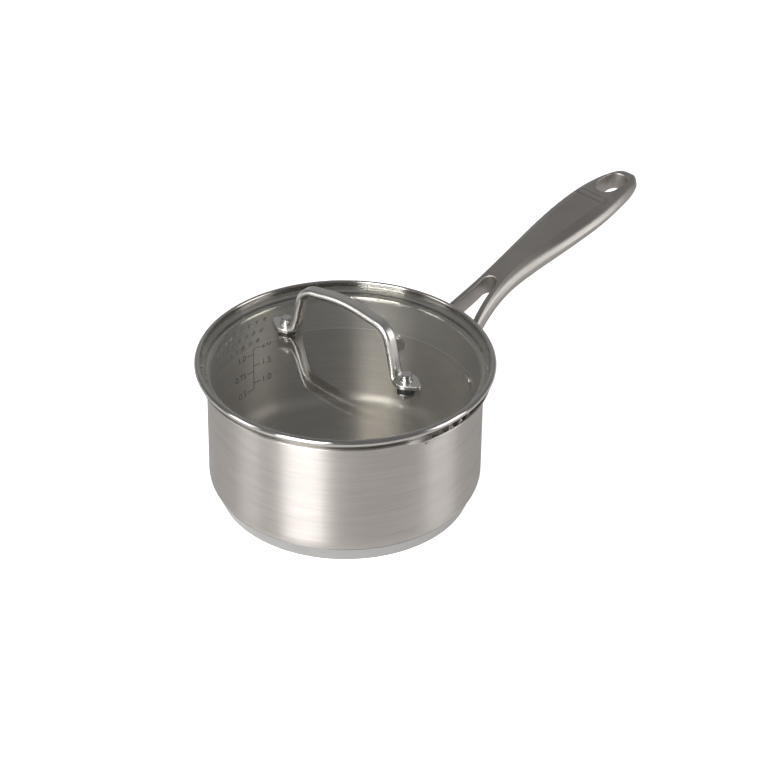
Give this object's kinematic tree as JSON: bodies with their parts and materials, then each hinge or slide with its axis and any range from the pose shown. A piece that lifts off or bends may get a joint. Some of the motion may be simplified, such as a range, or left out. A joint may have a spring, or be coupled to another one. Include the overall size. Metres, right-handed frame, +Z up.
{
  "type": "saucepan with straining lid",
  "caption": "Small stainless steel saucepan with a forked cast handle, two pouring lips and a glass lid whose perforated skirt strains as it pours.",
  "frame": {"origin": "centre of the base's resting face, on the pan's axis", "axes": "+Z up along the pan's axis; +X along the pan handle, away from the pan"},
  "size_m": [0.3441, 0.1762, 0.1313],
  "materials": {
    "pan_steel": "fine horizontal brushing",
    "base_steel": "satin",
    "core_aluminium": "satin",
    "handle_steel": "bead-blasted satin",
    "rivet_steel": "polished",
    "rim_steel": "polished",
    "lid_glass": "clear",
    "lid_handle_steel": "polished",
    "gasket_rubber": "matt",
    "washer_steel": "satin"
  },
  "bodies": {
    "pan": {"pan_body": "pan_steel", "base_cap": "base_steel", "base_core": "core_aluminium", "pan_handle": "handle_steel", "handle_rivet_left": "rivet_steel", "handle_rivet_right": "rivet_steel"},
    "lid": {"lid_rim": "rim_steel", "lid_glass": "lid_glass", "lid_handle": "lid_handle_steel", "lid_rivet_left": "rivet_steel", "lid_rivet_right": "rivet_steel", "lid_gasket_left": "gasket_rubber", "lid_gasket_right": "gasket_rubber", "lid_seal_left": "gasket_rubber", "lid_seal_right": "gasket_rubber", "lid_washer_left": "washer_steel", "lid_washer_right": "washer_steel"}
  },
  "joints": [
    {"name": "lid_lift", "type": "slide", "parent": "pan", "child": "lid", "axis": [0, 0, 1], "range_m": [0, 0.06]}
  ]
}
